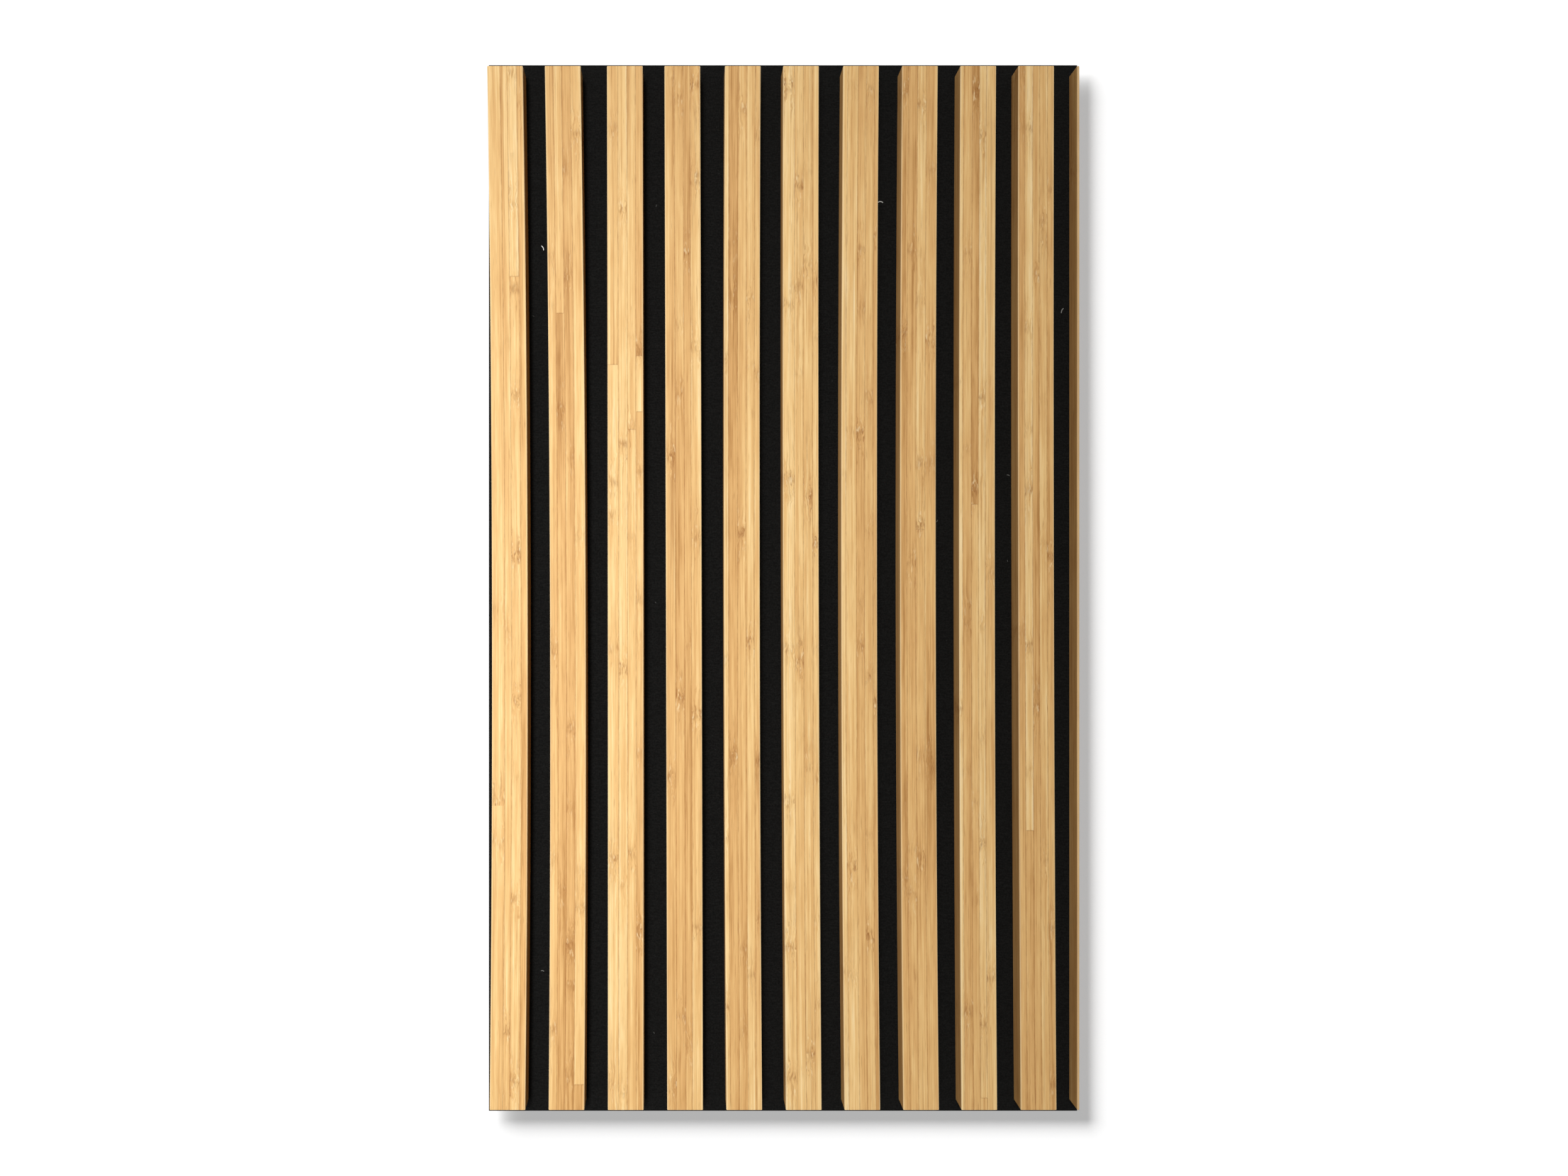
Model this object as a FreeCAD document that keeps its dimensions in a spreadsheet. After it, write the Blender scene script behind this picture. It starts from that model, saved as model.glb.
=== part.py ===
# Acoustic slat wall panel: laminated bamboo slats, glued and stapled to a black felt board.
# Millimetres. +X runs to the right, +Z up along the slats, and the front faces -Y.
# The origin is the centre of the felt's back face, which lies against the wall.
import FreeCAD, Part
import math
import os
import Sketcher
from FreeCAD import Vector

# The driving dimensions. Each becomes a cell of the spreadsheet under this name.
DIMENSIONS = {
    "slat_width": 24.4,
    "slat_depth": 12.0,
    "slat_length": 711.0,
    "slat_gap": 15.6,
    "arris_radius": 0.6,
    "trimmed_width": 1.5,
    "felt_thickness": 9.0,
    "felt_left_margin": 3.3,
    "felt_right_margin": 4.2,
    "felt_end_margin": 8.0,
    "staple_crown": 11.0,
    "staple_leg": 14.0,
    "staple_end_distance": 55.0,
    "staple_rows": 5,
    "wire_width": 1.2,
    "wire_thickness": 0.9,
    "crown_sink": 0.5,
    "staple_play": 0.05,
}

# The slats are laid by hand, so each one wanders: how far it stands to the right of its
# line at its head, its waist and its foot. The slat bows through those three places.
WANDER = {
    "slat_01": (-1.8, 1.5, -0.1),
    "slat_02": (-2.5, 1.0, 0.1),
    "slat_03": (-0.2, -0.1, 0.5),
    "slat_04": (-1.0, -0.5, 0.9),
    "slat_05": (0.2, -0.8, 1.2),
    "slat_06": (-0.2, -0.6, 1.7),
    "slat_07": (0.7, -0.9, 1.6),
    "slat_08": (0.8, -0.9, 1.6),
    "slat_09": (0.5, -0.7, 1.2),
    "slat_10": (-0.1, -0.5, 1.6),
}
STATIONS = ("head", "waist", "foot")
TRIMMED_SLAT = "slat_11_trimmed"

# Points closer together than this are one point.
SAME_PLACE = 1e-6

# Lengths that several pieces share, as expressions on the sheet.
PITCH = "(Dimensions.slat_width + Dimensions.slat_gap)"
LAST_SLAT_STEP = f"({len(WANDER)} * {PITCH})"
FELT_WIDTH = (
    f"(Dimensions.felt_left_margin + {LAST_SLAT_STEP} + Dimensions.trimmed_width"
    " + Dimensions.felt_right_margin)"
)
FELT_HEIGHT = "(Dimensions.slat_length + 2 * Dimensions.felt_end_margin)"
FIRST_SLAT_EDGE = f"(Dimensions.felt_left_margin - {FELT_WIDTH} / 2)"
STAPLE_RUN = "(Dimensions.slat_length - 2 * Dimensions.staple_end_distance)"
LOWEST_STAPLE = f"(-{STAPLE_RUN} / 2)"
LEG_SLOT_WIDTH = "(Dimensions.wire_width + 2 * Dimensions.staple_play)"
LEG_SLOT_HEIGHT = "(Dimensions.wire_thickness + 2 * Dimensions.staple_play)"
CROWN_SLOT_HEIGHT = "(Dimensions.staple_crown + 2 * Dimensions.staple_play)"
CROWN_SLOT_DEPTH = "(Dimensions.crown_sink + Dimensions.wire_thickness + Dimensions.staple_play)"
LEG_BITE = (
    "(Dimensions.crown_sink + Dimensions.staple_leg - Dimensions.felt_thickness"
    " + Dimensions.staple_play)"
)


def slat_axis(place):
    """The line that a slat is laid along, as an expression; place counts from 0 at the left."""
    return f"({FIRST_SLAT_EDGE} + Dimensions.slat_width / 2 + {place} * {PITCH})"


def number_of(item, expression):
    """What an expression on the sheet comes to, as a plain number."""
    return float(item.evalExpression(expression))


def make_sheet(doc):
    """Writes every driving dimension, and each slat's wander, into the spreadsheet."""
    cells = dict(DIMENSIONS)
    for slat, offsets in WANDER.items():
        for station, offset in zip(STATIONS, offsets):
            cells[f"{slat}_{station}"] = offset
    sheet = doc.addObject("Spreadsheet::Sheet", "Dimensions")
    for row, (alias, value) in enumerate(cells.items(), start=1):
        sheet.set(f"A{row}", alias)
        sheet.set(f"B{row}", str(value))
        sheet.setAlias(f"B{row}", alias)
    doc.recompute()
    return sheet


def origin_feature(body, role):
    """One of a body's own origin planes or axes."""
    return next(feature for feature in body.Origin.OriginFeatures if feature.Role == role)


def sketch_on(body, role, name):
    """An empty sketch on one of the body's origin planes."""
    sketch = body.newObject("Sketcher::SketchObject", name)
    sketch.AttachmentSupport = [(origin_feature(body, role), "")]
    sketch.MapMode = "FlatFace"
    return sketch


def dimension(sketch, kind, places, expression):
    """Adds a driving distance to a sketch and binds it to an expression on the sheet."""
    value = number_of(sketch, expression)
    index = sketch.addConstraint(Sketcher.Constraint(kind, *places, value))
    sketch.setExpression(f"Constraints[{index}]", expression)


def add_rectangle(sketch, middle_x, middle_y, width, height):
    """Draws a rectangle about a middle point. All four arguments are expressions."""
    left, right = f"({middle_x} - {width} / 2)", f"({middle_x} + {width} / 2)"
    low, high = f"({middle_y} - {height} / 2)", f"({middle_y} + {height} / 2)"
    corners = [
        Vector(number_of(sketch, x), number_of(sketch, y), 0)
        for x, y in ((left, low), (right, low), (right, high), (left, high))
    ]
    first = sketch.GeometryCount
    for start, end in zip(corners, corners[1:] + corners[:1]):
        sketch.addGeometry(Part.LineSegment(start, end), False)
    for side in range(4):
        following = first + (side + 1) % 4
        sketch.addConstraint(Sketcher.Constraint("Coincident", first + side, 2, following, 1))
        direction = "Vertical" if side % 2 else "Horizontal"
        sketch.addConstraint(Sketcher.Constraint(direction, first + side))
    dimension(sketch, "DistanceX", (-1, 1, first, 1), left)
    dimension(sketch, "DistanceY", (-1, 1, first, 1), low)
    dimension(sketch, "DistanceX", (first, 1, first, 2), width)
    dimension(sketch, "DistanceY", (first + 1, 1, first + 1, 2), height)


def pad(body, sketch, name, length):
    """Raises a sketch off its plane, towards the front."""
    feature = body.newObject("PartDesign::Pad", name)
    feature.Profile = sketch
    feature.setExpression("Length", length)
    sketch.Document.recompute()
    return feature


def pocket(body, sketch, name, depth):
    """Cuts a sketch into the body from its back plane, towards the front."""
    feature = body.newObject("PartDesign::Pocket", name)
    feature.Profile = sketch
    feature.Reversed = True
    feature.setExpression("Length", depth)
    sketch.Document.recompute()
    return feature


def line_pattern(body, name, axis_role, run, count):
    """A row of copies along one of the body's axes."""
    pattern = body.newObject("PartDesign::LinearPattern", name)
    pattern.Direction = (origin_feature(body, axis_role), [""])
    pattern.setExpression("Length", run)
    pattern.setExpression("Occurrences", count)
    return pattern


def add_leg_slots(sketch, middle_x):
    """Draws the slots of the lowest staple's two legs."""
    reach = "(Dimensions.staple_crown - Dimensions.wire_thickness) / 2"
    for side in ("-", "+"):
        leg = f"({LOWEST_STAPLE} {side} {reach})"
        add_rectangle(sketch, middle_x, leg, LEG_SLOT_WIDTH, LEG_SLOT_HEIGHT)


def make_felt(doc):
    """The felt board, with a slot at the back for each staple's crown and legs."""
    body = doc.addObject("PartDesign::Body", "felt_board")
    outline = sketch_on(body, "XZ_Plane", "felt_outline")
    add_rectangle(outline, "0", "0", FELT_WIDTH, FELT_HEIGHT)
    pad(body, outline, "felt_sheet", "Dimensions.felt_thickness")
    crown = sketch_on(body, "XZ_Plane", "crown_slot_outline")
    add_rectangle(crown, slat_axis(0), LOWEST_STAPLE, LEG_SLOT_WIDTH, CROWN_SLOT_HEIGHT)
    crown_slot = pocket(body, crown, "crown_slot", CROWN_SLOT_DEPTH)
    legs = sketch_on(body, "XZ_Plane", "leg_slot_outline")
    add_leg_slots(legs, slat_axis(0))
    leg_slots = pocket(body, legs, "leg_slots", "Dimensions.felt_thickness")
    staples = body.newObject("PartDesign::MultiTransform", "staple_slots")
    staples.Originals = [crown_slot, leg_slots]
    staples.Transformations = [
        line_pattern(body, "slots_across", "X_Axis", f"{len(WANDER) - 1} * {PITCH}", f"{len(WANDER)}"),
        line_pattern(body, "slots_up", "Z_Axis", STAPLE_RUN, "Dimensions.staple_rows"),
    ]
    body.Tip = staples
    return body


def slat_section(body, name, station, level):
    """A slat's section at one station: square at the back, eased at both front arrises."""
    sketch = sketch_on(body, "XY_Plane", f"{name}_{station}_section")
    sketch.setExpression(".AttachmentOffset.Base.z", level)
    left_edge = f"(Dimensions.{name}_{station} - Dimensions.slat_width / 2)"
    left = number_of(sketch, left_edge)
    right = left + number_of(sketch, "Dimensions.slat_width")
    front = -number_of(sketch, "Dimensions.slat_depth")
    radius = number_of(sketch, "Dimensions.arris_radius")
    side_end = front + radius
    back_left, back_right = Vector(left, 0, 0), Vector(right, 0, 0)
    left_end, right_end = Vector(left, side_end, 0), Vector(right, side_end, 0)
    front_left, front_right = Vector(left + radius, front, 0), Vector(right - radius, front, 0)
    left_round = Part.Circle(Vector(left + radius, side_end, 0), Vector(0, 0, 1), radius)
    right_round = Part.Circle(Vector(right - radius, side_end, 0), Vector(0, 0, 1), radius)
    back, left_side, left_arris, face, right_arris, right_side = (
        sketch.addGeometry(geometry, False)
        for geometry in (
            Part.LineSegment(back_right, back_left),
            Part.LineSegment(back_left, left_end),
            Part.ArcOfCircle(left_round, math.pi, 1.5 * math.pi),
            Part.LineSegment(front_left, front_right),
            Part.ArcOfCircle(right_round, 1.5 * math.pi, 2 * math.pi),
            Part.LineSegment(right_end, back_right),
        )
    )
    for kind, places in (
        ("Coincident", (back, 2, left_side, 1)),
        ("Tangent", (left_side, 2, left_arris, 1)),
        ("Tangent", (left_arris, 2, face, 1)),
        ("Tangent", (face, 2, right_arris, 1)),
        ("Tangent", (right_arris, 2, right_side, 1)),
        ("Coincident", (right_side, 2, back, 1)),
        ("Horizontal", (back,)),
        ("Vertical", (left_side,)),
        ("Horizontal", (face,)),
        ("Vertical", (right_side,)),
        ("Equal", (left_arris, right_arris)),
        ("PointOnObject", (back, 2, -1)),
    ):
        sketch.addConstraint(Sketcher.Constraint(kind, *places))
    dimension(sketch, "DistanceX", (-1, 1, back, 2), left_edge)
    dimension(sketch, "DistanceX", (back, 2, back, 1), "Dimensions.slat_width")
    dimension(sketch, "DistanceY", (face, 1, -1, 1), "Dimensions.slat_depth")
    dimension(sketch, "Radius", (left_arris,), "Dimensions.arris_radius")
    return sketch


def make_slat(doc, name, place):
    """One bamboo slat, bowed through its three sections, with blind slots for the staple legs."""
    body = doc.addObject("PartDesign::Body", name)
    body.setExpression(".Placement.Base.x", slat_axis(place))
    body.setExpression(".Placement.Base.y", "-Dimensions.felt_thickness")
    half_length = "Dimensions.slat_length / 2"
    levels = {"head": half_length, "waist": "0 * Dimensions.slat_length", "foot": f"-{half_length}"}
    head, waist, foot = (slat_section(body, name, station, levels[station]) for station in STATIONS)
    blank = body.newObject("PartDesign::AdditiveLoft", f"{name}_blank")
    blank.Profile = head
    blank.Sections = [waist, foot]
    doc.recompute()
    legs = sketch_on(body, "XZ_Plane", f"{name}_leg_outline")
    add_leg_slots(legs, "0")
    leg_slots = pocket(body, legs, f"{name}_leg_slots", LEG_BITE)
    row = line_pattern(body, f"{name}_leg_rows", "Z_Axis", STAPLE_RUN, "Dimensions.staple_rows")
    row.Originals = [leg_slots]
    body.Tip = row
    return body


def make_trimmed_slat(doc):
    """The last slat, ripped down to a thin strip that ends the panel at the right."""
    body = doc.addObject("PartDesign::Body", TRIMMED_SLAT)
    strip_middle = f"{FIRST_SLAT_EDGE} + {LAST_SLAT_STEP} + Dimensions.trimmed_width / 2"
    body.setExpression(".Placement.Base.x", strip_middle)
    body.setExpression(".Placement.Base.y", "-Dimensions.felt_thickness")
    outline = sketch_on(body, "XZ_Plane", "trimmed_outline")
    add_rectangle(outline, "0", "0", "Dimensions.trimmed_width", "Dimensions.slat_length")
    blank = pad(body, outline, "trimmed_blank", "Dimensions.slat_depth")
    left = -number_of(body, "Dimensions.trimmed_width") / 2
    front = -number_of(body, "Dimensions.slat_depth")
    arris = [
        f"Edge{number}"
        for number, edge in enumerate(blank.Shape.Edges, start=1)
        if all(abs(vertex.X - left) + abs(vertex.Y - front) < SAME_PLACE for vertex in edge.Vertexes)
    ]
    eased = body.newObject("PartDesign::Fillet", "trimmed_arris")
    eased.Base = (blank, arris)
    eased.setExpression("Radius", "Dimensions.arris_radius")
    body.Tip = eased
    return body


def staple_outline(body):
    """A staple seen along its crown's width: a flat crown and two chisel-ended legs."""
    sketch = sketch_on(body, "YZ_Plane", "staple_outline")
    crown_y = "(-Dimensions.crown_sink)"
    inner_y = f"({crown_y} - Dimensions.wire_thickness)"
    tip_y = f"({crown_y} - Dimensions.staple_leg)"
    bevel_y = f"({tip_y} + Dimensions.wire_thickness)"
    outer_z = "(Dimensions.staple_crown / 2)"
    inner_z = f"({outer_z} - Dimensions.wire_thickness)"
    upper = [(crown_y, outer_z), (bevel_y, outer_z), (tip_y, inner_z), (inner_y, inner_z)]
    lower = [(y, f"(-{z})") for y, z in reversed(upper)]
    corners = [(y, f"({LOWEST_STAPLE} + {z})") for y, z in upper + lower]
    spots = [Vector(number_of(sketch, y), number_of(sketch, z), 0) for y, z in corners]
    for start, end in zip(spots, spots[1:] + spots[:1]):
        sketch.addGeometry(Part.LineSegment(start, end), False)
    for side, (y, z) in enumerate(corners):
        following = (side + 1) % len(corners)
        sketch.addConstraint(Sketcher.Constraint("Coincident", side, 2, following, 1))
        dimension(sketch, "DistanceX", (-1, 1, side, 1), y)
        dimension(sketch, "DistanceY", (-1, 1, side, 1), z)
    return sketch


def make_staples(doc):
    """The wire staples, a column of them behind each slat, as one group of separate solids."""
    body = doc.addObject("PartDesign::Body", "back_staples")
    body.AllowCompound = True
    body.setExpression(".Placement.Base.x", slat_axis(0))
    wire = body.newObject("PartDesign::Pad", "staple_wire")
    wire.Profile = staple_outline(body)
    wire.Midplane = True
    wire.setExpression("Length", "Dimensions.wire_width")
    doc.recompute()
    staples = body.newObject("PartDesign::MultiTransform", "staples")
    staples.Originals = [wire]
    staples.Transformations = [
        line_pattern(body, "staples_across", "X_Axis", f"{len(WANDER) - 1} * {PITCH}", f"{len(WANDER)}"),
        line_pattern(body, "staples_up", "Z_Axis", STAPLE_RUN, "Dimensions.staple_rows"),
    ]
    body.Tip = staples
    return body


def check(doc, pieces):
    """Stops the build if anything in the document failed or a piece isn't a valid solid."""
    for item in doc.Objects:
        if "Invalid" in item.State or "Error" in item.State:
            raise RuntimeError(f"{item.Label} failed: {item.State}")
    for piece in pieces:
        if piece.Shape.isNull() or not piece.Shape.isValid() or not piece.Shape.Solids:
            raise RuntimeError(f"{piece.Label} isn't a valid solid")


def main():
    doc = FreeCAD.newDocument("acoustic_slat_panel")
    make_sheet(doc)
    pieces = [make_felt(doc)]
    pieces += [make_slat(doc, name, place) for place, name in enumerate(WANDER)]
    pieces.append(make_trimmed_slat(doc))
    pieces.append(make_staples(doc))
    doc.recompute()
    check(doc, pieces)
    os.makedirs("parts", exist_ok=True)
    for piece in pieces:
        piece.Shape.exportStep(f"parts/{piece.Label}.step")
        box = piece.Shape.BoundBox
        print(
            f"{piece.Label}: {len(piece.Shape.Solids)} solid, {piece.Shape.Volume / 1000:.2f} cm3,"
            f" {box.XLength:.2f} x {box.YLength:.2f} x {box.ZLength:.2f} mm"
        )


main()
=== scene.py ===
# %% [markdown]
# # An acoustic slat wall panel
#
# The panel is a board of black needled felt with upright slats of pressed bamboo on its
# face. The slats are glued and stapled down by hand, so none of them is quite straight.
# The solid model gives the felt, the slats and the staples at their true places. This
# lesson dresses it: the slats get their strips of bamboo, the felt its fibres, and the
# whole panel a white wall and a soft light.

import math

import bpy
import numpy as np
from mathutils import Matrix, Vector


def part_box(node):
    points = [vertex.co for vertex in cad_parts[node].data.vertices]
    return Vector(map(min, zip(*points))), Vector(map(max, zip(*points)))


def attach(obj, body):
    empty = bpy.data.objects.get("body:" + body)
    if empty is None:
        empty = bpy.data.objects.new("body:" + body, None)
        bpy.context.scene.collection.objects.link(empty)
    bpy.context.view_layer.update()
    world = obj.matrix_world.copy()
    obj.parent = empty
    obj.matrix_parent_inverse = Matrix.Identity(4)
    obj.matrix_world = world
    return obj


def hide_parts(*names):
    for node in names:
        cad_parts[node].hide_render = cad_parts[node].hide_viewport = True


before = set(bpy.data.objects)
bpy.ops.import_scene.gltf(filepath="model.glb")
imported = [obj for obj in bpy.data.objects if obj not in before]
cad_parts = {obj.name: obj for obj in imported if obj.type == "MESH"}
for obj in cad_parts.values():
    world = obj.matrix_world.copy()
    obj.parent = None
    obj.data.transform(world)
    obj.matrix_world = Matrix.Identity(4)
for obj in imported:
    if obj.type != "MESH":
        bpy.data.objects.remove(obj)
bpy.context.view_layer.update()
print("solid model:", len(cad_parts), "nodes")

# %% [markdown]
# ## What the solids tell us
#
# A slat bows through three places: its head, its waist and its foot. The bow could be
# typed in again, but then two files would have to agree. Here it is read from the solid
# itself: a curve of the second degree is fitted to the slat's two back edges, and its
# values at the three places are what the slat is built from.

# %% Measure the slats
MM = 0.001
SLATS = ["slat_%02d" % number for number in range(1, 11)]
TRIMMED = "slat_11_trimmed"
# Corners this close to a slat's highest end, or to its back plane, belong to it.
END_BAND, BACK_BAND = 0.1 * MM, 0.01 * MM


def node_points(name):
    """The corners of a solid's mesh, one row for each."""
    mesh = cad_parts[name].data
    points = np.empty(len(mesh.vertices) * 3)
    mesh.vertices.foreach_get("co", points)
    return points.reshape(-1, 3)


def measure_slat(name):
    """A slat's width, depth and length, its back plane, and where its middle line runs."""
    points = node_points(name)
    low, high = points.min(axis=0), points.max(axis=0)
    half_length = (high[2] - low[2]) / 2
    top = points[points[:, 2] > high[2] - END_BAND]
    width = top[:, 0].max() - top[:, 0].min()
    back = points[points[:, 1] > high[1] - BACK_BAND]
    middle = (low[0] + high[0]) / 2
    edges = back[abs(back[:, 0] - middle) > width / 3]
    line = edges[:, 0] - np.sign(edges[:, 0] - middle) * width / 2
    levels = len(np.unique(edges[:, 2].round(5)))
    bow = np.polyfit(edges[:, 2], line, min(2, levels - 1))
    head, waist, foot = np.polyval(bow, [half_length, 0, -half_length])
    return {
        "Width": width, "Depth": high[1] - low[1], "Half Length": half_length,
        "Back": high[1], "Head": head, "Waist": waist, "Foot": foot,
    }


slat_sizes = {name: measure_slat(name) for name in SLATS + [TRIMMED]}
for name, size in slat_sizes.items():
    print(name, {key: round(value / MM, 2) for key, value in size.items()})

# %% [markdown]
# ## Helpers for node trees
#
# Both the slats and the finishes are built from nodes. Such trees could be drawn by hand
# and saved, but then they couldn't be read here. A few short helpers keep them readable
# as code: one adds a node and fills or links its inputs, others do arithmetic, stretch a
# vector, carry one range over to another or mix two colours, and the last opens a new
# group with named inputs and outputs.

# %% Node helpers
SOCKETS = {
    "geometry": "NodeSocketGeometry", "value": "NodeSocketFloat", "vector": "NodeSocketVector",
    "colour": "NodeSocketColor", "material": "NodeSocketMaterial",
}


def add_node(tree, kind, inputs=None, **settings):
    """Adds a node. Inputs are given by name or number, as values or as sockets to link."""
    node = tree.nodes.new(kind)
    for key, value in settings.items():
        setattr(node, key, value)
    for key, value in (inputs or {}).items():
        if isinstance(value, bpy.types.NodeSocket):
            tree.links.new(value, node.inputs[key])
        else:
            node.inputs[key].default_value = value
    return node


def calculate(tree, operation, *values):
    """A Math node's result."""
    node = add_node(tree, "ShaderNodeMath", dict(enumerate(values)), operation=operation)
    return node.outputs[0]


def scale_vector(tree, vector, factors):
    """A vector with each part multiplied by its own factor."""
    node = add_node(tree, "ShaderNodeVectorMath", {0: vector, 1: factors}, operation="MULTIPLY")
    return node.outputs[0]


def remap(tree, value, start, end, low=0.0, high=1.0, smooth=True):
    """A value from start..end carried over to low..high, held at the ends."""
    inputs = {"Value": value, "From Min": start, "From Max": end, "To Min": low, "To Max": high}
    kind = "SMOOTHSTEP" if smooth else "LINEAR"
    return add_node(tree, "ShaderNodeMapRange", inputs, interpolation_type=kind).outputs[0]


def blend_colour(tree, factor, first, second, blend_type="MIX"):
    """Two colours mixed by a factor."""
    node = add_node(tree, "ShaderNodeMix", {0: factor, 6: first, 7: second}, data_type="RGBA")
    node.blend_type = blend_type
    return node.outputs[2]


def new_group(name, kind, inputs, outputs):
    """A node group with its named sockets, and its input and output nodes."""
    tree = bpy.data.node_groups.new(name, kind)
    for label, socket in inputs.items():
        tree.interface.new_socket(label, in_out="INPUT", socket_type=SOCKETS[socket])
    for label, socket in outputs.items():
        tree.interface.new_socket(label, in_out="OUTPUT", socket_type=SOCKETS[socket])
    given = tree.nodes.new("NodeGroupInput").outputs
    result = tree.nodes.new("NodeGroupOutput").inputs
    return tree, given, result


print("kinds of sockets:", ", ".join(SOCKETS))

# %% [markdown]
# ## An effect for three finishes: stretched fibres
#
# Bamboo and felt are both fibres: long and straight in the one, short and tangled in the
# other. One group serves both, and unstretched it gives the staples their patches of zinc.
# It stretches a noise along the grain, so that the noise turns into lines, and puts out a
# value round nought that darkens or lightens a colour.

# %% The fibre group
fibres, given, result = new_group(
    "Stretched fibres", "ShaderNodeTree",
    {"Grain": "vector", "Across": "value", "Along": "value", "Contrast": "value"},
    {"Lines": "value"},
)
stretch = add_node(
    fibres, "ShaderNodeCombineXYZ", {0: given["Across"], 1: given["Across"], 2: given["Along"]}
)
lines = add_node(
    fibres, "ShaderNodeTexNoise",
    {
        "Vector": scale_vector(fibres, given["Grain"], stretch.outputs[0]),
        "Scale": 1.0, "Detail": 2.0, "Roughness": 0.6,
    },
)
centred = calculate(fibres, "SUBTRACT", lines.outputs[0], 0.5)
fibres.links.new(calculate(fibres, "MULTIPLY", centred, given["Contrast"]), result["Lines"])
print("group:", fibres.name)


def fibre_lines(tree, grain, across, along, contrast):
    """Places the fibre group in a tree; across and along are fibres per metre."""
    node = add_node(
        tree, "ShaderNodeGroup",
        {"Grain": grain, "Across": across, "Along": along, "Contrast": contrast},
        node_tree=fibres,
    )
    return node.outputs[0]


# %% [markdown]
# ## The finish of pressed bamboo
#
# A slat is pressed from strips of split cane, glued side by side. Each strip has its own
# tone, long straight fibres, thin dark lines where it meets its neighbours, and every
# hand's breadth or two a knuckle, where the cane had a joint: a brown smudge with pale
# flecks round which the fibres bend. A photograph could be wrapped round the slats, but
# it would repeat and blur. Here the strips carry their facts as attributes on the mesh,
# and the nodes draw the rest from them, so that no two strips are alike.

# %% The tones of bamboo
TONES = {
    "tan": 0.02, "amber": 0.18, "honey": 0.34, "gold": 0.50,
    "straw": 0.66, "cream": 0.83, "pale": 1.02,
}
TONE_COLOURS = [
    (-0.40, (0.430, 0.205, 0.060)),
    (0.00, (0.600, 0.325, 0.114)),
    (0.25, (0.705, 0.402, 0.151)),
    (0.60, (0.790, 0.487, 0.192)),
    (1.00, (0.890, 0.605, 0.268)),
    (1.40, (0.950, 0.715, 0.380)),
]
CANE_BROWN = (0.260, 0.085, 0.018, 1.0)
CANE_PALE = (0.950, 0.740, 0.420, 1.0)
# The darker tone and the tint of the slats' sides are painted shade.
SIDE_SHADE_TONE = 0.38
SIDE_SHADE_TINT = (1.0, 0.93, 0.83, 1.0)


def tone_colour(tree, tone):
    """The colour of a tone, from the darkest cane to the palest."""
    darkest, palest = TONE_COLOURS[0][0], TONE_COLOURS[-1][0]
    place = remap(tree, tone, darkest, palest, smooth=False)
    ramp = add_node(tree, "ShaderNodeValToRGB", {0: place})
    stops = ramp.color_ramp.elements
    stops.remove(stops[1])
    for index, (level, colour) in enumerate(TONE_COLOURS):
        at = (level - darkest) / (palest - darkest)
        stop = stops[0] if index == 0 else stops.new(at)
        stop.position = at
        stop.color = (*colour, 1.0)
    return ramp.outputs[0]


print("tones:", ", ".join(TONES))

# %% The bamboo group: its sockets and its seed
# Each kind of fibre: how many to the metre across and along the grain, and the contrast.
FIBRES = {
    "wobble": (300.0, 90.0, 1.0),
    "patches": (750.0, 150.0, 1.0),
    "mottle": (70.0, 9.0, 0.80),
    "bands": (330.0, 3.0, 1.40),
    "coarse": (850.0, 5.0, 1.10),
    "fine": (2100.0, 14.0, 0.80),
    "flecks": (600.0, 36.0, 0.95),
    "long lines": (1150.0, 5.0, 1.0),
    "dashes": (1700.0, 55.0, 1.0),
    "tail lines": (1100.0, 24.0, 1.0),
    "streaks": (1000.0, 130.0, 1.0),
}
SEED_STEP = (0.37, 0.23, 1.91)
bamboo_grain, given, result = new_group(
    "Bamboo strips", "ShaderNodeTree",
    {
        "Grain": "vector", "Seed": "value", "Tone": "value", "Seam": "value", "Knuckle": "value",
        "Force": "value", "Rim": "value", "Side": "value", "Fibre Contrast": "value",
        "Knuckle Strength": "value",
    },
    {"Colour": "colour", "Roughness": "value", "Height": "value"},
)
tree = bamboo_grain
seed_step = add_node(tree, "ShaderNodeCombineXYZ", {
    axis: calculate(tree, "MULTIPLY", given["Seed"], step) for axis, step in enumerate(SEED_STEP)
}).outputs[0]
own_grain = add_node(
    tree, "ShaderNodeVectorMath", {0: given["Grain"], 1: seed_step}, operation="ADD"
).outputs[0]
along = add_node(tree, "ShaderNodeSeparateXYZ", {0: own_grain}).outputs[2]
print("kinds of fibres in a strip:", ", ".join(FIBRES))

# %% The bamboo group: where the cane had its joints
# Some joints fall where they may, and the others come from the cutting list below.
KNUCKLES_PER_METRE = 5.0
STRAY_STRENGTH = 0.40
RAGGEDNESS = 1.6
CORE_REACH, SHADE_REACH, TAIL_REACH = 6.5 * MM, 22 * MM, 60 * MM
SWING = 8 * MM
cane = add_node(
    tree, "ShaderNodeTexVoronoi",
    {"W": along, "Scale": KNUCKLES_PER_METRE, "Randomness": 0.9},
    voronoi_dimensions="1D",
)
stray = calculate(tree, "DIVIDE", cane.outputs["Distance"], KNUCKLES_PER_METRE)
chance = add_node(tree, "ShaderNodeSeparateColor", {0: cane.outputs["Color"]}).outputs[0]
stray_weight = remap(tree, chance, 0.35, 1.0, high=STRAY_STRENGTH)
wobble = fibre_lines(tree, own_grain, *FIBRES["wobble"])
patchy = fibre_lines(tree, own_grain, *FIBRES["patches"])


def knuckle_mark(distance, reach):
    """A mark that fades out at about that distance from a joint of the cane."""
    raggedness = calculate(tree, "MULTIPLY", wobble, RAGGEDNESS * reach)
    return remap(tree, calculate(tree, "ADD", distance, raggedness), reach, 0.0)


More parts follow.
